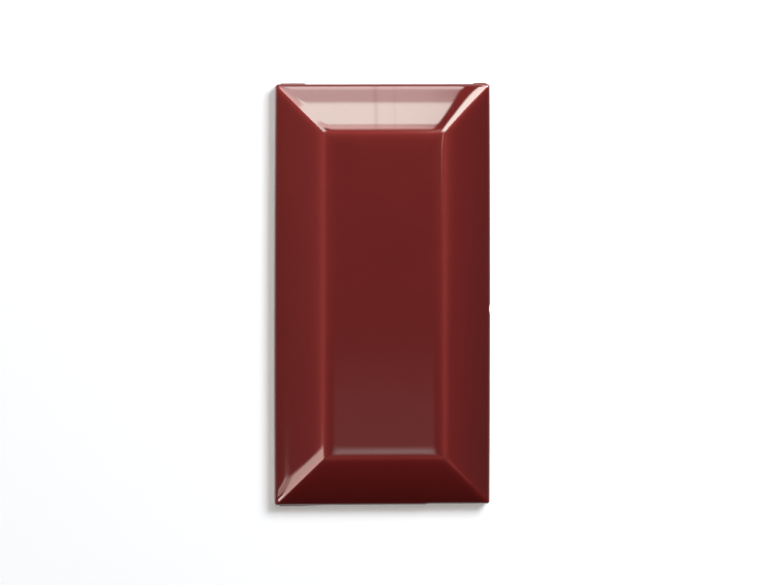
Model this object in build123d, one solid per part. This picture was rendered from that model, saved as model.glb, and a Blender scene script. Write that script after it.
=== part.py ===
"""A bevelled ceramic wall tile of the 75 x 150 format, pressed and fired as one piece.

The tile lies on its back: X is its width, Y its length and +Z points out of the glazed face.
The origin is the centre of the back, on the plane of the keying ribs. All sizes are in millimetres.
"""

import os
from math import radians, tan

from build123d import *

# Outline of the tile, over the glazed rim
tile_width = 76.5
tile_length = 148.2
corner_radius = 1.0

# Section through the face: a low rim, a sloping bevel and a raised flat table
rim_height = 5.0
table_height = 8.4
bevel_width = 16.8
arris_radius = 12.0
rim_radius = 0.9

# Side walls, which narrow a little towards the back so that the pressing leaves its die
wall_draft = 1.0
back_edge_chamfer = 0.4

# Spacer lugs on the short ends: centre from the long axis, length, and which end
lug_proud = 0.35
lug_bottom = 0.8
lug_top = 3.8
lug_edge_radius = 0.3
lugs = {
    "top_left": {"centre": -31.9, "length": 9.0, "end": 1},
    "top_right": {"centre": 34.5, "length": 4.6, "end": 1},
    "bottom_left": {"centre": -29.9, "length": 13.0, "end": -1},
}

# Keyed back: drafted pockets between crossing ribs, inside a plain margin
pocket_columns = 6
pocket_rows = 12
back_margin = 5.0
rib_width = 2.0
pocket_depth = 0.7
pocket_draft = 30.0


def bevelled_crown():
    """The table and its four bevels, carried past the tile's outline and then rounded on every arris."""
    slope = (table_height - rim_height) / bevel_width
    overrun = bevel_width / 3
    foot_height = rim_height - overrun * slope
    foot = Rectangle(tile_width + 2 * overrun, tile_length + 2 * overrun)
    table = Rectangle(tile_width - 2 * bevel_width, tile_length - 2 * bevel_width)
    crown = loft([Pos(Z=foot_height) * foot, Pos(Z=table_height) * table])
    top_edges = crown.edges().group_by(Axis.Z)[-1]
    mitres = crown.edges().filter_by(
        lambda edge: edge.bounding_box().size.Z > (table_height - foot_height) / 2
    )
    crown = fillet(top_edges + mitres, arris_radius)
    return crown + extrude(foot, foot_height)


def drafted_prism():
    """The tile's outline carried up past the table, narrowing all the way down to the back."""
    overhang = 2 * (table_height - rim_height) * tan(radians(wall_draft))
    outline = RectangleRounded(tile_width + overhang, tile_length + overhang, corner_radius)
    return extrude(Pos(Z=table_height) * outline, table_height, dir=(0, 0, -1), taper=wall_draft)


def round_rim(tile):
    """Rounds the edge where the bevels meet the side walls, all the way round."""
    lowest = rim_height - rim_radius
    rim = tile.edges().filter_by(
        lambda edge: lowest < edge.bounding_box().min.Z and edge.bounding_box().max.Z < rim_height + 0.05
    )
    return fillet(rim, rim_radius)


def chamfer_back_edge(tile):
    """Takes the sharp corner off the outside edge of the back."""
    return chamfer(tile.edges().group_by(Axis.Z)[0], back_edge_chamfer)


def spacer_lug(centre, length, end):
    """One low pad on a short end, which holds the next tile off by the width of a joint."""
    root = 2.0
    depth = lug_proud + root
    height = lug_top - lug_bottom
    pad = Box(length, depth, height)
    upright = pad.edges().filter_by(Axis.Z)
    outer = upright.group_by(Axis.Y)[-1 if end > 0 else 0]
    pad = fillet(outer, lug_edge_radius)
    middle = tile_length / 2 + lug_proud - depth / 2
    return Pos(centre, end * middle, lug_bottom + height / 2) * pad


def back_pockets():
    """The shallow drafted pockets that key the back into the adhesive."""
    pitch_x = (tile_width - 2 * back_margin) / pocket_columns
    pitch_y = (tile_length - 2 * back_margin) / pocket_rows
    mouth = Rectangle(pitch_x - rib_width, pitch_y - rib_width)
    pocket = extrude(mouth, pocket_depth, taper=pocket_draft)
    return GridLocations(pitch_x, pitch_y, pocket_columns, pocket_rows) * pocket


def wall_tile():
    """The whole tile: one solid."""
    tile = drafted_prism() & bevelled_crown()
    tile = round_rim(tile)
    tile = chamfer_back_edge(tile)
    for lug in lugs.values():
        tile += spacer_lug(**lug)
    tile -= back_pockets()
    return tile


os.makedirs("parts", exist_ok=True)
tile = wall_tile()
print("solids", len(tile.solids()), "volume", round(tile.volume), "valid", tile.is_valid)
export_step(tile.solid(), "parts/wall_tile.step")
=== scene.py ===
# A bevelled wall tile in oxblood gloss glaze, lying on a white table under soft studio lights.
from math import cos, pi, radians, sin, tan

import bpy
from mathutils import Matrix, Vector


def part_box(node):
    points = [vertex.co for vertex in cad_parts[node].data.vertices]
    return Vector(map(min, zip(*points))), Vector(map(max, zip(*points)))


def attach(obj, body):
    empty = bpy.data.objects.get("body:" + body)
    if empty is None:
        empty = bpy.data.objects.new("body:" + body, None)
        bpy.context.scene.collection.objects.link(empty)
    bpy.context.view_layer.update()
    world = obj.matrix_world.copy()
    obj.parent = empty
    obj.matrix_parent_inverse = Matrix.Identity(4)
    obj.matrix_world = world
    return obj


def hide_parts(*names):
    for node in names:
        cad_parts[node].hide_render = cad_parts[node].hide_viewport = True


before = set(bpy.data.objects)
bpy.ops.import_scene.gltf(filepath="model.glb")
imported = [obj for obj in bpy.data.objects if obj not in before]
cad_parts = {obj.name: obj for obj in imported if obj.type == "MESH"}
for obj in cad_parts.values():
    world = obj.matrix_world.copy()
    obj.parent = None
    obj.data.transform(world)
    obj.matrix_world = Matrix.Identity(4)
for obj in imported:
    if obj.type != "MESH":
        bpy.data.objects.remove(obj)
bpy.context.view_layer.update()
tileLow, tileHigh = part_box("wall_tile")
mm = 0.001


def aimFrom(towards):
    # Turns a camera or lamp at that side of the tile to face it, with the tile's length upright
    back = towards.normalized()
    right = Vector((0.0, 1.0, 0.0)).cross(back).normalized()
    return Matrix((right, back.cross(right), back)).transposed().to_euler()


def plug(tree, target, value):
    # A term of a formula is a number or another field
    if isinstance(value, Field):
        tree.links.new(value.socket, target)
    else:
        target.default_value = value


def calc(tree, operation, *terms):
    node = tree.nodes.new("ShaderNodeMath")
    node.operation = operation
    for target, term in zip(node.inputs, terms):
        plug(tree, target, term)
    return Field(tree, node.outputs[0])


class Field:
    # A node socket that adds and multiplies like a number, so that a formula reads as one
    def __init__(self, tree, socket):
        self.tree, self.socket = tree, socket

    def __add__(self, other):
        return calc(self.tree, "ADD", self, other)

    def __radd__(self, other):
        return calc(self.tree, "ADD", other, self)

    def __sub__(self, other):
        return calc(self.tree, "SUBTRACT", self, other)

    def __rsub__(self, other):
        return calc(self.tree, "SUBTRACT", other, self)

    def __mul__(self, other):
        return calc(self.tree, "MULTIPLY", self, other)

    def __rmul__(self, other):
        return calc(self.tree, "MULTIPLY", other, self)

    def __truediv__(self, other):
        return calc(self.tree, "DIVIDE", self, other)

    def __rtruediv__(self, other):
        return calc(self.tree, "DIVIDE", other, self)

    def __pow__(self, other):
        return calc(self.tree, "POWER", self, other)

    def size(self):
        return calc(self.tree, "ABSOLUTE", self)

    def sign(self):
        return calc(self.tree, "SIGN", self)

    def least(self, other):
        return calc(self.tree, "MINIMUM", self, other)

    def most(self, other):
        return calc(self.tree, "MAXIMUM", self, other)

    def within(self):
        return self.most(0.0).least(1.0)

    def softLeast(self, other, width):
        return calc(self.tree, "SMOOTH_MIN", self, other, width)

    def exceeds(self, other):
        return calc(self.tree, "GREATER_THAN", self, other)

    def ramp(self, start, end):
        # 0 at start, 1 at end, eased at both
        node = self.tree.nodes.new("ShaderNodeMapRange")
        node.interpolation_type = "SMOOTHSTEP"
        plug(self.tree, node.inputs["Value"], self)
        plug(self.tree, node.inputs["From Min"], start)
        plug(self.tree, node.inputs["From Max"], end)
        return Field(self.tree, node.outputs["Result"])

    def bell(self, width):
        # 1 where the field is 0, falling off over the width
        over = self / width
        return calc(self.tree, "EXPONENT", over * over * -1.0)


def addNode(tree, kind, settings=None, **links):
    # Links are named after the input sockets, with _ for a space
    node = tree.nodes.new(kind)
    for name, value in (settings or {}).items():
        setattr(node, name, value)
    for name, value in links.items():
        plug(tree, node.inputs[name.replace("_", " ")], value)
    return node


def out(node, name=0):
    return Field(node.id_data, node.outputs[name])


def noise(tree, place, scale, detail=2.0, roughness=0.5):
    # Centred on 0
    node = addNode(tree, "ShaderNodeTexNoise", Vector=place, Scale=scale, Detail=detail, Roughness=roughness)
    return out(node, "Fac") - 0.5


def joinXyz(tree, x, y, z):
    return out(addNode(tree, "ShaderNodeCombineXYZ", X=x, Y=y, Z=z))


def splitXyz(tree, vector):
    node = addNode(tree, "ShaderNodeSeparateXYZ", Vector=vector)
    return [out(node, axis) for axis in "XYZ"]


# Camera: where the photograph was taken from

cameraPlace = {
    "distance": 2.5,
    "tiltToLeft": 6.50,      # degrees off straight down
    "tiltToTop": 1.67,
    "aim": (0.36 * mm, 0.78 * mm, 5.0 * mm),
    "focalPixels": 7105.0,
    "picturePixels": 768,
}


def placeCamera(place):
    data = bpy.data.cameras.new("tileCamera")
    data.sensor_width = 36.0
    data.lens = place["focalPixels"] * data.sensor_width / place["picturePixels"]
    data.clip_end = 20.0
    camera = bpy.data.objects.new("tileCamera", data)
    bpy.context.collection.objects.link(camera)
    towards = Vector((-tan(radians(place["tiltToLeft"])), tan(radians(place["tiltToTop"])), 1.0))
    camera.location = Vector(place["aim"]) + towards.normalized() * place["distance"]
    camera.rotation_euler = aimFrom(towards)
    bpy.context.scene.camera = camera


placeCamera(cameraPlace)
print("camera placed")


# Tile: sizes in millimetres, angles in degrees

tileForm = {
    "Bevel": 16.8,
    "Rim Height": 5.0,
    "Arris Softness": 1.1,   # height over which a bevel melts into the table
    "Mitre Softness": 5.4,   # width over which two bevels melt together
    "Slack Corner": 3.8,     # extra softness of the mitre at +X +Y
    "Cushion Drop": 0.5,     # extra fall of a bevel towards the rim
    "Cushion Reach": 12.0,
    "Rim Radius": 0.9,
    "Corner Radius": 1.0,
    "Side Bow": 0.24,        # the long sides stand out in the middle
    "Left Lean": 0.20,       # the left side leans in at the +Y end
    "End Skew": 0.08,        # both ends stand out towards the right
    "Wall Draft": 0.09,
    "Back Chamfer": 0.4,
    "Glaze Edge": 3.2,       # height up the wall where the glaze stops
    "Glaze Wave": 0.9,
    "Glaze Thickness": 0.14,
    "Ripple": 0.006,
    "Edge Wobble": 0.07,
}
tileLattice = {              # points round the outline, and rings in each part of the section
    "around": 480, "bareWall": 7, "glazedWall": 7, "rim": 10, "bevel": 34, "arris": 22, "table": 24,
}
tileReach = {"arris": 10.0, "table": 15.0}   # how far inwards the rings of those parts run
cornerCrowding = 1.5         # above 1, the points of the outline crowd towards its corners
cushionCurve = 2.4
mitreSkew = 0.28             # two opposite mitres are softer by this share, and the other two sharper
slackSpan = {"start": 0.38, "full": 0.8, "end": 1.2}     # along the mitre, 0 at the centre, 1 at the corner
spacerLugs = {"proud": 0.35, "low": 0.8, "high": 3.8, "soft": 0.35}
lugPlaces = (
    {"left": -36.2, "right": -27.8, "fade": 0.4, "end": 1},
    {"left": 32.4, "right": 36.6, "fade": 0.4, "end": 1},
    {"left": -36.2, "right": -31.0, "fade": 15.5, "end": -1},
)
shortEnd = {"from": 15.6, "drop": 0.25}      # the -Y end sits back a little from here to the right
backPockets = {"columns": 6, "rows": 12, "margin": 5.0, "rib": 2.0, "depth": 0.7, "draft": 0.4}
pocketSquareness = 0.3       # 0 square, 1 round
rimChip = {"place": (38.35, -5.1, 4.2), "radii": (0.65, 2.1, 1.1), "grain": 1.6, "roughness": 0.7}
glazeRunAndShade = {                                 # thicker than on the table by, at the arris and at the rim; set by which way a bevel faces, so partly painted shade on the lower and right bevels and painted light on the left
    "left": (-0.13, -0.06),
    "right": (-0.05, 0.36),
    "upper": (0.07, 0.04),
    "lower": (0.10, 0.47),
}
glazeThinning = {                            # where the glaze is thin
    "narrow": 0.18,                          # within these heights of an arris
    "wide": 0.55,
    "rim": (1.3, 0.1),                       # and this far from the rim
    "rimShare": 0.6,
    "lowerCover": 0.35,                      # the lower and right arrises show less of it
    "rightCover": 0.25,
}
unevenness = {"face": 70.0, "glazeLine": 150.0, "edge": 220.0}       # noise scales, per metre
rippleFade = {"rim": 3.0, "middle": 6.0}     # over which the ripple dies out at the edge and at the middle
creaseAngle = 35             # two faces that meet at more than this stay sharp


def tileHeight(x, y, form, halfWidth, halfLength):
    # A bevel that climbs with the distance from the nearest side, and melts into the table
    fromSide, fromEnd = halfWidth - x.size(), halfLength - y.size()
    softness = form["Mitre Softness"] * (1.0 + x * y * mitreSkew / (halfWidth * halfLength))
    corner = x.most(0.0) * y.most(0.0) / (halfWidth * halfLength)
    rise = corner.ramp(slackSpan["start"], slackSpan["full"])
    fall = corner.ramp(slackSpan["end"], slackSpan["full"])
    softness = softness + form["Slack Corner"] * rise * fall
    inset = fromSide.softLeast(fromEnd, softness)
    slope = (form["Height"] - form["Rim Height"]) / form["Bevel"]
    cushion = (1.0 - inset / form["Cushion Reach"]).most(0.0) ** cushionCurve
    bevel = form["Rim Height"] + slope * inset - form["Cushion Drop"] * cushion
    return bevel.softLeast(form["Height"], form["Arris Softness"]), fromSide * slope, fromEnd * slope


def markBare(tree, geometry, isBare):
    node = addNode(tree, "GeometryNodeStoreNamedAttribute", {"data_type": "BOOLEAN", "domain": "FACE"},
                   Geometry=geometry, Name="bareBody", Value=isBare)
    return out(node, "Geometry")


def glazedTileShape():
    tree = bpy.data.node_groups.new("glazedTileShape", "GeometryNodeTree")
    sockets = tree.interface
    sockets.new_socket("Geometry", in_out="INPUT", socket_type="NodeSocketGeometry")
    sizes = ["Width", "Length", "Height"] + list(tileForm)
    for name in sizes:
        sockets.new_socket(name, in_out="INPUT", socket_type="NodeSocketFloat")
    for name in ("Pocket Columns", "Pocket Rows"):
        sockets.new_socket(name, in_out="INPUT", socket_type="NodeSocketInt")
    for name in ("Glaze", "Biscuit"):
        sockets.new_socket(name, in_out="INPUT", socket_type="NodeSocketMaterial")
    sockets.new_socket("Geometry", in_out="OUTPUT", socket_type="NodeSocketGeometry")
    given = tree.nodes.new("NodeGroupInput")
    form = {name: out(given, name) for name in sizes}
    halfWidth = form["Width"] / 2.0
    halfLength = form["Length"] / 2.0

    # A tube of rings, closed at both ends, which the formulas below draw out into the tile
    parts = ("bareWall", "glazedWall", "rim", "bevel", "arris", "table")
    rings = sum(tileLattice[part] for part in parts)
    tube = addNode(tree, "GeometryNodeMeshCylinder", {"fill_type": "NGON"}, Vertices=tileLattice["around"],
                   Side_Segments=rings, Radius=1.0, Depth=float(rings))
    tubeX, tubeY, tubeZ = splitXyz(tree, out(addNode(tree, "GeometryNodeInputPosition")))
    ring = calc(tree, "ROUND", tubeZ + rings / 2)
    firstRing = {}
    for place, part in enumerate(parts):
        firstRing[part] = sum(tileLattice[before] for before in parts[:place])

    def share(part):
        # How far a ring is through one part of the section, 0 to 1
        return ((ring - firstRing[part]) / tileLattice[part]).within()

    # The lower wall is bare, and its faces keep the mark through the shaping
    isBare = (firstRing["glazedWall"] - rings / 2 - tubeZ).exceeds(0.0)
    marked = markBare(tree, out(tube, "Mesh"), isBare)

    # Inset of each ring from the outline
    firstStep = ring.within()
    bareStep = ((ring - 1.0) / (tileLattice["bareWall"] - 1)).within()
    rimAngle = share("rim") * (pi / 2)
    arrisReach = tileReach["arris"] * mm
    lip = ((ring - firstRing["glazedWall"]) / 2.0).within()
    inset = form["Wall Draft"] * (1.0 - share("glazedWall")) + form["Back Chamfer"] * (1.0 - firstStep)
    inset = inset + form["Glaze Thickness"] * (1.0 - calc(tree, "SINE", lip * (pi / 2)))
    inset = inset + form["Rim Radius"] * (1.0 - calc(tree, "COSINE", rimAngle))
    inset = inset + share("bevel") * (form["Bevel"] - form["Rim Radius"] - arrisReach / 2)
    inset = inset + share("arris") * arrisReach + share("table") * (tileReach["table"] * mm)

    # Round the outline: the corner tightens over the rim and eases again towards the middle
    corner = form["Corner Radius"]
    ringWidth = halfWidth - form["Side Bow"] - inset
    ringLength = halfLength - inset
    turn = corner - inset.least(corner * 0.6) + (inset - form["Rim Radius"]).most(0.0) * 0.1
    turn = turn.least(ringWidth * 0.8)
    around = calc(tree, "ARCTAN2", tubeY.size(), tubeX.size()) / (pi / 4) - 1.0
    crowded = around.size() ** cornerCrowding
    along = crowded * (around.most(0.0).sign() * ringWidth + around.least(0.0).sign() * ringLength)
    arc = (1.0 + (along / turn).most(-1.0).least(1.0)) * (pi / 4)
    cornerX = ringWidth - turn + turn * calc(tree, "COSINE", arc) - (along - turn).most(0.0)
    cornerY = ringLength - turn + turn * calc(tree, "SINE", arc) - (0.0 - along - turn).most(0.0)
    bow = form["Side Bow"] * (1.0 - (cornerY / halfLength) ** 2.0) * (cornerX / halfWidth)
    x = tubeX.sign() * (cornerX + bow)
    y = tubeY.sign() * cornerY

    # Height of the face, the rim's round and the wall under it
    top = tileHeight(x, y, form, halfWidth, halfLength)[0]
    wave = noise(tree, joinXyz(tree, x, y, 0.0), unevenness["face"], 1.0)
    inward = (inset / (rippleFade["rim"] * mm)).within()
    inward = inward * ((halfWidth - inset) / (rippleFade["middle"] * mm)).within()
    face = top + wave * form["Ripple"] * inward - form["Rim Radius"] * (1.0 - calc(tree, "SINE", rimAngle))
    dip = noise(tree, joinXyz(tree, x, y, 0.0), unevenness["glazeLine"], 3.0)
    glazeLine = form["Glaze Edge"] + dip * form["Glaze Wave"]
    z = firstStep * form["Back Chamfer"] + bareStep * (glazeLine - form["Back Chamfer"])
    z = z + share("glazedWall") * (face - glazeLine)

    # Low pads on the short ends, a step in one of them, and the slight wander of a fired edge
    onWall = 1.0 - share("rim")
    soft = spacerLugs["soft"] * mm
    padHeight = z.ramp(spacerLugs["low"] * mm, spacerLugs["low"] * mm + soft)
    padHeight = padHeight * z.ramp(spacerLugs["high"] * mm, spacerLugs["high"] * mm - soft)
    padPush = 0.0
    for lug in lugPlaces:
        leftFlank = x.ramp(lug["left"] * mm - soft, lug["left"] * mm)
        rightFlank = x.ramp((lug["right"] + lug["fade"]) * mm, lug["right"] * mm)
        padPush = padPush + leftFlank * rightFlank * (y * lug["end"]).exceeds(0.0)
    nearEnd = (y.size() - halfLength + 2.0 * mm).most(0.0) / (2.0 * mm)
    setBack = x.ramp(shortEnd["from"] * mm - soft, shortEnd["from"] * mm + soft) * (0.0 - y).exceeds(0.0)
    wander = noise(tree, joinXyz(tree, x, y, z), unevenness["edge"], 3.0) * form["Edge Wobble"] * onWall
    drop = setBack * nearEnd * (shortEnd["drop"] * mm)
    y = y + y.sign() * (padPush * padHeight * spacerLugs["proud"] * mm - drop)
    y = y + y.sign() * wander
    x = x + x.sign() * wander * onWall
    y = y + y.sign() * (x / halfWidth) * form["End Skew"]
    x = x + (y / halfLength) * (0.0 - x / halfWidth).most(0.0) * form["Left Lean"]
    shaped = addNode(tree, "GeometryNodeSetPosition", Geometry=marked, Position=joinXyz(tree, x, y, z))

    # Pockets in the back, in rows
    columns, rows = out(given, "Pocket Columns"), out(given, "Pocket Rows")
    margin, rib = backPockets["margin"] * mm, backPockets["rib"] * mm
    pitchX = (form["Width"] - 2 * margin) / columns
    pitchY = (form["Length"] - 2 * margin) / rows
    spots = addNode(tree, "GeometryNodeMeshGrid", Size_X=pitchX * (columns - 1.0),
                    Size_Y=pitchY * (rows - 1.0), Vertices_X=columns, Vertices_Y=rows)
    depth, draft = backPockets["depth"] * mm, backPockets["draft"]
    cone = addNode(tree, "GeometryNodeMeshCone", {"fill_type": "NGON"}, Vertices=32,
                   Radius_Bottom=1.0 + draft / 4.5, Radius_Top=1.0 - draft / 4.5, Depth=2 * depth)
    coneX, coneY, coneZ = splitXyz(tree, out(addNode(tree, "GeometryNodeInputPosition")))
    reach = (coneX * coneX + coneY * coneY) ** 0.5

    def squared(value, half):
        return value.sign() * (value / reach).size() ** pocketSquareness * reach * half

    pocketX = squared(coneX, (pitchX - rib) / 2.0)
    pocketY = squared(coneY, (pitchY - rib) / 2.0)
    pocket = addNode(tree, "GeometryNodeSetPosition", Geometry=out(cone, "Mesh"),
                     Position=joinXyz(tree, pocketX, pocketY, coneZ - depth))
    pockets = addNode(tree, "GeometryNodeInstanceOnPoints", Points=out(spots, "Mesh"),
                      Instance=out(pocket, "Geometry"))
    pockets = addNode(tree, "GeometryNodeRealizeInstances", Geometry=out(pockets, "Instances"))

    # A knocked spot on the rim
    knock = addNode(tree, "GeometryNodeMeshIcoSphere", Radius=1.0, Subdivisions=4)
    knockPlace = out(addNode(tree, "GeometryNodeInputPosition"))
    rough = 1.0 + noise(tree, knockPlace, rimChip["grain"], 3.0) * rimChip["roughness"]
    knockX, knockY, knockZ = splitXyz(tree, knockPlace)
    chipX, chipY, chipZ = rimChip["place"]
    chipWide, chipLong, chipHigh = rimChip["radii"]
    knock = addNode(tree, "GeometryNodeSetPosition", Geometry=out(knock, "Mesh"), Position=joinXyz(
        tree, knockX * rough * (chipWide * mm) + chipX * mm, knockY * rough * (chipLong * mm) + chipY * mm,
        knockZ * rough * (chipHigh * mm) + chipZ * mm))
    cutters = addNode(tree, "GeometryNodeJoinGeometry")
    tree.links.new(pockets.outputs["Geometry"], cutters.inputs[0])
    tree.links.new(knock.outputs["Geometry"], cutters.inputs[0])
    cut = addNode(tree, "GeometryNodeMeshBoolean", {"operation": "DIFFERENCE", "solver": "MANIFOLD"})
    tree.links.new(shaped.outputs["Geometry"], cut.inputs["Mesh 1"])
    tree.links.new(markBare(tree, out(cutters), True).socket, cut.inputs["Mesh 2"])

    # Where the glaze has run thin over an arris and lies thicker towards the rim, with each bevel's glaze
    # made darker or lighter by the way it faces: painted shade and painted light
    placeX, placeY = splitXyz(tree, out(addNode(tree, "GeometryNodeInputPosition")))[:2]
    sides, ends = tileHeight(placeX, placeY, form, halfWidth, halfLength)[1:]
    lowest = sides.least(ends)
    ridge = lowest - (form["Height"] - form["Rim Height"])
    onBevel = (0.0 - ridge).ramp(-0.05 * mm, 0.3 * mm)
    onEnd = (sides - ends).ramp(-0.06 * mm, 0.06 * mm)
    facing = {"upper": onEnd * placeY.exceeds(0.0), "lower": onEnd * (0.0 - placeY).exceeds(0.0)}
    facing["right"] = (1.0 - onEnd) * placeX.exceeds(0.0)
    facing["left"] = (1.0 - onEnd) * (0.0 - placeX).exceeds(0.0)
    toRim = (1.0 - lowest / (form["Height"] - form["Rim Height"])).within()
    # Painted shade and light: each bevel's glaze is darker or lighter by the way it faces the lamps, on top
    # of real pooling
    poolAndShade = 0.0
    for name, (atArris, atRim) in glazeRunAndShade.items():
        poolAndShade = poolAndShade + facing[name] * (atArris + toRim * (atRim - atArris))
    mitre = sides - ends
    covered = 1.0 - facing["lower"] * glazeThinning["lowerCover"]
    covered = covered - facing["right"] * glazeThinning["rightCover"]

    def thinWithin(width):
        return (ridge.bell(width) * covered).most(mitre.bell(width) * onBevel)

    narrow, wide = thinWithin(glazeThinning["narrow"] * mm), thinWithin(glazeThinning["wide"] * mm)
    fromEdge = (halfWidth - placeX.size()).least(halfLength - placeY.size())
    outer, inner = glazeThinning["rim"]
    narrow = narrow.most(fromEdge.ramp(outer * mm, inner * mm) * glazeThinning["rimShare"])
    result = out(cut, "Mesh")
    for name, value in (("glazeThin", narrow), ("glazeFade", wide), ("glazePoolAndShade", poolAndShade * onBevel)):
        stored = addNode(tree, "GeometryNodeStoreNamedAttribute", {"data_type": "FLOAT", "domain": "POINT"},
                         Geometry=result, Name=name, Value=value)
        result = out(stored, "Geometry")

    # Smooth faces, with the sharp edges creased
    smooth = addNode(tree, "GeometryNodeSetShadeSmooth", {"domain": "FACE"}, Geometry=result,
                     Shade_Smooth=True)
    edgeAngle = out(addNode(tree, "GeometryNodeInputMeshEdgeAngle"), "Unsigned Angle")
    sharp = edgeAngle.exceeds(radians(creaseAngle))
    creased = addNode(tree, "GeometryNodeSetShadeSmooth", {"domain": "EDGE"},
                      Geometry=out(smooth, "Geometry"), Selection=sharp, Shade_Smooth=False)
    whole = addNode(tree, "GeometryNodeRealizeInstances", Geometry=out(creased, "Geometry"))
    glazed = addNode(tree, "GeometryNodeSetMaterial", Geometry=out(whole, "Geometry"),
                     Material=out(given, "Glaze"))
    bareMark = addNode(tree, "GeometryNodeInputNamedAttribute", {"data_type": "BOOLEAN"}, Name="bareBody")
    bare = addNode(tree, "GeometryNodeSetMaterial", Geometry=out(glazed, "Geometry"),
                   Selection=out(bareMark, "Attribute"), Material=out(given, "Biscuit"))
    finish = tree.nodes.new("NodeGroupOutput")
    tree.links.new(bare.outputs["Geometry"], finish.inputs["Geometry"])
    return tree


def newMaterial(name):
    material = bpy.data.materials.new(name)
    material.use_nodes = True
    tree = material.node_tree
    return material, tree, tree.nodes["Principled BSDF"]


def objectPlace(tree):
    return out(tree.nodes.new("ShaderNodeTexCoord"), "Object")


biscuitLook = {
    "colour": (0.66, 0.50, 0.40, 1.0),
    "grit": 0.8,
    "roughness": 0.85,
    "grain": 0.04,                           # depth of the grain, in millimetres
    "cloudScale": 90.0,
    "grainScale": 2400.0,
    "poreScale": 1100.0,
}


def paleBiscuit(look):
    # The bare pressed body: a warm off-white with fine specks and pores
    material, tree, surface = newMaterial("paleBiscuit")
    place = objectPlace(tree)
    cloud = noise(tree, place, look["cloudScale"], 4.0, 0.6)
    grain = noise(tree, place, look["grainScale"], 3.0, 0.7)
    pores = addNode(tree, "ShaderNodeTexVoronoi", {"feature": "F1"}, Vector=place, Scale=look["poreScale"])
    pore = 1.0 - out(pores, "Distance").ramp(0.08, 0.26)
    # Cloud and grain vary the tone; the pores are painted darker, painted shade in the pits
    shade = 1.0 + cloud * 0.16 + grain * (look["grit"] * 0.25) - pore * (look["grit"] * 0.3)
    tinted = addNode(tree, "ShaderNodeVectorMath", {"operation": "SCALE"}, Scale=shade)
    tinted.inputs[0].default_value = look["colour"][:3]
    tree.links.new(tinted.outputs[0], surface.inputs["Base Color"])
    surface.inputs["Roughness"].default_value = look["roughness"]
    bump = addNode(tree, "ShaderNodeBump", Height=grain * 0.5 - pore, Distance=look["grain"] * mm,
                   Strength=0.8)
    tree.links.new(bump.outputs["Normal"], surface.inputs["Normal"])
    return material


glazeLook = {
    "thin": (0.29, 0.036, 0.031, 1.0),       # over an arris, where the body shows through
    "even": (0.125, 0.0106, 0.0097, 1.0),
    "pooled": (0.062, 0.0054, 0.0051, 1.0),
    "depthGloss": 0.42,                      # roughness of the red light from inside the glaze
    "depthIor": 1.2,
    "depthTint": (1.0, 0.085, 0.075, 1.0),
    "coatRoughness": 0.045,
    "coatIor": 1.7,                          # a lead-rich gloss glaze
    "orangePeel": 0.0012,
    "peelScale": 300.0,
    "arrisThinning": (0.22, 0.13),           # close to the arris, and around it
    "cloud": (55.0, 0.06),                   # scale, and share of the thickness
    "fleck": (420.0, 0.03),
    "run": 0.9,                              # darker towards the -Y end, per metre: a glaze run together with painted shade of the light falling away from the +Y lamps
    "streaks": ((-2.8, 0.7, 0.16), (3.9, 0.4, 0.09)),    # duller runs down the +Y bevel: place, width, depth
    "streakFrom": (55.0, 60.0),              # a streak shows beyond this, and in full beyond that
    "streakBend": 1.5,
}


def oxbloodGlaze(look):
    material, tree, surface = newMaterial("oxbloodGlaze")
    place = objectPlace(tree)

    def stored(name):
        return out(addNode(tree, "ShaderNodeAttribute", {"attribute_name": name}), "Fac")

    # Thickness of the glaze, 0 thin to 1 pooled, with 0.5 as laid; it also carries painted shade and light,
    # by the way each bevel faces and as a darkening towards the -Y end
    cloud = noise(tree, place, look["cloud"][0], 3.0, 0.55)
    fleck = noise(tree, place, look["fleck"][0], 2.0, 0.5)
    close, wide = look["arrisThinning"]
    thickness = 0.5 - stored("glazeThin") * close - stored("glazeFade") * wide
    thickness = thickness + stored("glazePoolAndShade") + cloud * look["cloud"][1] + fleck * look["fleck"][1]
    placeX, placeY = splitXyz(tree, place)[:2]
    # Painted shade: the glaze darkens towards the -Y end, on top of a slight glaze run
    thickness = thickness - placeY * look["run"]
    ramp = tree.nodes.new("ShaderNodeValToRGB")
    stops = ramp.color_ramp.elements
    stops[0].position, stops[0].color = 0.0, look["thin"]
    stops[1].position, stops[1].color = 1.0, look["pooled"]
    middle = stops.new(0.5)
    middle.color = look["even"]
    plug(tree, ramp.inputs["Fac"], thickness)
    tree.links.new(ramp.outputs["Color"], surface.inputs["Base Color"])
    surface.inputs["Roughness"].default_value = look["depthGloss"]
    surface.inputs["IOR"].default_value = look["depthIor"]
    surface.inputs["Specular Tint"].default_value = look["depthTint"]
    gloss = 1.0
    start, full = look["streakFrom"]
    for centre, width, depth in look["streaks"]:
        run = (placeX + cloud * (look["streakBend"] * mm) - centre * mm).bell(width * mm)
        gloss = gloss - run * placeY.ramp(start * mm, full * mm) * depth
    plug(tree, surface.inputs["Coat Weight"], gloss)
    surface.inputs["Coat Roughness"].default_value = look["coatRoughness"]
    surface.inputs["Coat IOR"].default_value = look["coatIor"]
    peel = noise(tree, place, look["peelScale"], 2.0) * look["orangePeel"]
    bump = addNode(tree, "ShaderNodeBump", Height=peel, Distance=1.0 * mm, Strength=1.0)
    tree.links.new(bump.outputs["Normal"], surface.inputs["Normal"])
    return material


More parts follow.
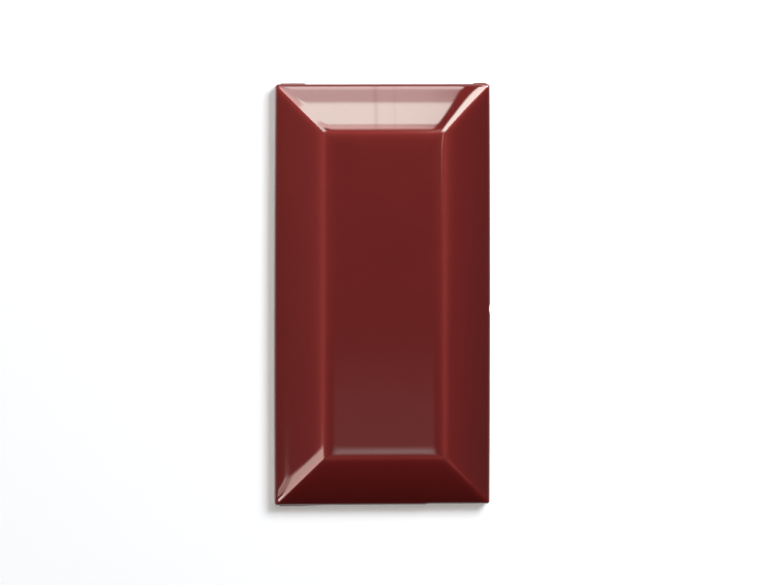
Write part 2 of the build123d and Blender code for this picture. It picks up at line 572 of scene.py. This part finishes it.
def buildTile():
    tree = glazedTileShape()
    seed = bpy.data.objects.new("tileSeed", bpy.data.meshes.new("tileSeed"))
    bpy.context.collection.objects.link(seed)
    modifier = seed.modifiers.new("shape", "NODES")
    modifier.node_group = tree
    values = {name: size * mm for name, size in tileForm.items()}
    values["Width"] = tileHigh.x - tileLow.x
    values["Length"] = tileHigh.y - tileLow.y - 2 * spacerLugs["proud"] * mm
    values["Height"] = tileHigh.z
    values["Pocket Columns"] = backPockets["columns"]
    values["Pocket Rows"] = backPockets["rows"]
    values["Glaze"], values["Biscuit"] = oxbloodGlaze(glazeLook), paleBiscuit(biscuitLook)
    for socket in tree.interface.items_tree:
        if socket.in_out == "INPUT" and socket.name in values:
            modifier[socket.identifier] = values[socket.name]
    evaluated = seed.evaluated_get(bpy.context.evaluated_depsgraph_get())
    mesh = bpy.data.meshes.new_from_object(evaluated)
    mesh.name = "glazedTile"
    seed.modifiers.remove(modifier)
    bpy.data.objects.remove(seed)
    tile = bpy.data.objects.new("glazedTile", mesh)
    bpy.context.collection.objects.link(tile)
    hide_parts("wall_tile")
    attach(tile, "root")
    print("tile made,", len(mesh.polygons), "faces")
    return tile


buildTile()


# Table: white all round, with the tile's shadow on it

tableLook = {"colour": (0.815, 0.845, 0.875, 1.0), "lift": 0.21, "half": 6.0, "shadowReach": (0.12, 0.40)}


def whiteTable(look):
    material, tree, surface = newMaterial("whiteTable")
    surface.inputs["Base Color"].default_value = look["colour"]
    surface.inputs["Roughness"].default_value = 0.9
    surface.inputs["Specular IOR Level"].default_value = 0.0
    surface.inputs["Emission Color"].default_value = (1.0, 1.0, 1.0, 1.0)
    placeX, placeY = splitXyz(tree, objectPlace(tree))[:2]
    away = ((placeX * placeX + placeY * placeY) ** 0.5).ramp(*look["shadowReach"])
    rays = tree.nodes.new("ShaderNodeLightPath")
    seen = out(rays, "Is Camera Ray").most(out(rays, "Is Glossy Ray")).most(out(rays, "Is Transmission Ray"))
    glow = addNode(tree, "ShaderNodeEmission", Color=(1.0, 1.0, 1.0, 1.0), Strength=1.0)
    surface.inputs["Emission Strength"].default_value = look["lift"]
    mix = addNode(tree, "ShaderNodeMixShader", Fac=seen * away)
    tree.links.new(surface.outputs[0], mix.inputs[1])
    tree.links.new(glow.outputs[0], mix.inputs[2])
    tree.links.new(mix.outputs[0], tree.nodes["Material Output"].inputs["Surface"])
    corners = [(x * look["half"], y * look["half"], 0.0) for x, y in ((-1, -1), (1, -1), (1, 1), (-1, 1))]
    mesh = bpy.data.meshes.new("whiteTable")
    mesh.from_pydata(corners, [], [(0, 1, 2, 3)])
    mesh.materials.append(material)
    table = bpy.data.objects.new("whiteTable", mesh)
    bpy.context.collection.objects.link(table)


whiteTable(tableLook)
print("table made")


# Lights: directions in degrees off straight up, towards +X and towards +Y

lightPanels = {
    "mainSoftbox": {"tilt": (37.0, 39.5), "distance": 1.60, "size": (0.73, 0.73), "radiance": 16.5},
}
roomGlow = {"low": 0.32, "high": 0.085, "from": 0.40, "to": 0.85}    # near the table and overhead
lampFill = 0.45      # share of the lamps' light that falls on matt surfaces
white, cream, rose = (1.0, 1.0, 1.0), (1.0, 0.98, 0.90), (1.0, 0.78, 0.70)
blush, coral = (1.15, 1.0, 0.97), (1.30, 0.98, 0.93)


def softLamp(centre, half, soft, level, tint, turn=0.0, taper=0.0):
    # Degrees, but for the level; a taper widens the second half by that share along the first
    return dict(centre=centre, half=half, soft=soft, level=level, tint=tint, turn=turn, taper=taper)


roomLamps = {
    "overTop": softLamp((5.95, 23.1), (1.85, 3.7), (0.1, 1.1), 9.4, cream, turn=-4.0),
    "overTopSkirt": softLamp((-1.0, 19.95), (8.3, 5.05), (0.3, 2.0), 5.2, coral),
    "overTopFar": softLamp((6.0, 27.5), (2.0, 4.1), (0.15, 0.4), 4.3, blush, turn=-4.0),
    "overTopLow": softLamp((-1.4, 36.2), (10.3, 5.0), (0.3, 0.4), 6.6, blush),
    "overTopLeft": softLamp((-0.25, 17.25), (1.9, 8.0), (0.7, 0.5), 9.2, cream, turn=-45.0),
    "overTopFarLeft": softLamp((-1.45, 22.3), (3.0, 10.7), (0.5, 0.5), 4.3, blush, turn=-45.0),
    "overTopEdge": softLamp((-6.05, 15.45), (4.6, 2.6), (0.6, 0.8), 7.0, rose, turn=-45.0),
    "overTopCorner": softLamp((-1.05, 10.95), (2.83, 3.0), (0.7, 0.5), 7.0, cream, turn=-45.0),
    "overTopSkirtLeft": softLamp((0.85, 14.65), (2.1, 4.4), (0.8, 0.6), 5.6, coral, turn=-45.0),
    "window": softLamp((0.0, 54.0), (32.0, 10.0), (6.0, 4.0), 1.3, white),
    "upperRight": softLamp((17.3, 16.2), (8.5, 3.8), (1.5, 1.3), 11.0, cream, turn=68.5, taper=0.36),
    "upperRightLine": softLamp((14.8, 4.2), (0.7, 4.8), (0.6, 0.3), 1.8, rose),
    "upperRightHook": softLamp((8.9, 11.0), (2.0, 2.0), (0.15, 0.8), 1.1, rose),
    "lowerLeft": softLamp((-8.8, -10.9), (7.0, 7.5), (0.8, 1.0), 4.8, rose, turn=28.0, taper=-0.38),
    "lowerLeftHeel": softLamp((-20.6, -8.6), (3.4, 4.4), (0.8, 0.6), 2.3, rose),
    "lowerLeftSpur": softLamp((-22.9, -6.55), (0.8, 3.0), (0.6, 0.25), 3.4, rose),
    "lowerLeftLine": softLamp((-7.0, -6.9), (1.2, 3.95), (0.8, 0.3), 1.4, rose),
    "lowerLeftGlint": softLamp((-12.8, -18.5), (1.6, 1.6), (1.0, 1.0), 9.0, white),
    "lowerMiddle": softLamp((6.5, -7.2), (1.8, 2.6), (1.2, 2.4), 1.5, white),
    "lowerHaze": softLamp((6.5, -6.3), (1.8, 4.05), (1.2, 0.55), 0.28, white),
}
roomShade = {"from": -12.0, "to": -22.0, "depth": 0.9, "above": (0.2, 0.6)}    # dark wall beyond the -Y end


def placeLights(panels):
    for name, panel in panels.items():
        data = bpy.data.lights.new(name, "AREA")
        data.shape = "RECTANGLE"
        data.size, data.size_y = panel["size"]
        data.energy = panel["radiance"] * pi * data.size * data.size_y
        light = bpy.data.objects.new(name, data)
        bpy.context.collection.objects.link(light)
        sideways, forward = panel["tilt"]
        towards = Vector((tan(radians(sideways)), tan(radians(forward)), 1.0)).normalized()
        light.location = towards * panel["distance"]
        light.rotation_euler = aimFrom(towards)


def lightRoom(glow, lamps, shade):
    # Pale low down and dark overhead, with soft-edged lamps, and plain white to the camera
    world = bpy.data.worlds.new("studio")
    world.use_nodes = True
    bpy.context.scene.world = world
    tree = world.node_tree
    x, y, z = splitXyz(tree, out(tree.nodes.new("ShaderNodeTexCoord"), "Generated"))
    sideways, forward = calc(tree, "ARCTAN2", x, z), calc(tree, "ARCTAN2", y, z)
    level = glow["low"] - z.ramp(glow["from"], glow["to"]) * (glow["low"] - glow["high"])
    dark = forward.ramp(radians(shade["from"]), radians(shade["to"])) * z.ramp(*shade["above"])
    level = level * (1.0 - dark * shade["depth"])
    rays = tree.nodes.new("ShaderNodeLightPath")
    camera, glossy = out(rays, "Is Camera Ray"), out(rays, "Is Glossy Ray")
    strength = glossy * (1.0 - lampFill) + lampFill
    channels = [level] * 3
    for lamp in lamps.values():
        inside = z.exceeds(0.0)
        turn = radians(lamp["turn"])
        across, along = sideways - radians(lamp["centre"][0]), forward - radians(lamp["centre"][1])
        turned = across * cos(turn) + along * sin(turn), along * cos(turn) - across * sin(turn)
        widths = [radians(half) for half in lamp["half"]]
        if lamp["taper"]:
            widths[1] = turned[0] * (lamp["taper"] * widths[1] / widths[0]) + widths[1]
        for off, half, soft in zip(turned, widths, lamp["soft"]):
            inside = inside * off.size().ramp(half + radians(soft), half - radians(soft))
        lit = inside * strength
        channels = [
            channel.most(lit * (lamp["level"] * share)) for channel, share in zip(channels, lamp["tint"])
        ]
    seen = [channel * (1.0 - camera) + camera for channel in channels]
    plug(tree, tree.nodes["Background"].inputs["Color"], joinXyz(tree, *seen))


placeLights(lightPanels)
lightRoom(roomGlow, roomLamps, roomShade)
bpy.context.scene.view_settings.view_transform = "Standard"
print("lights placed")
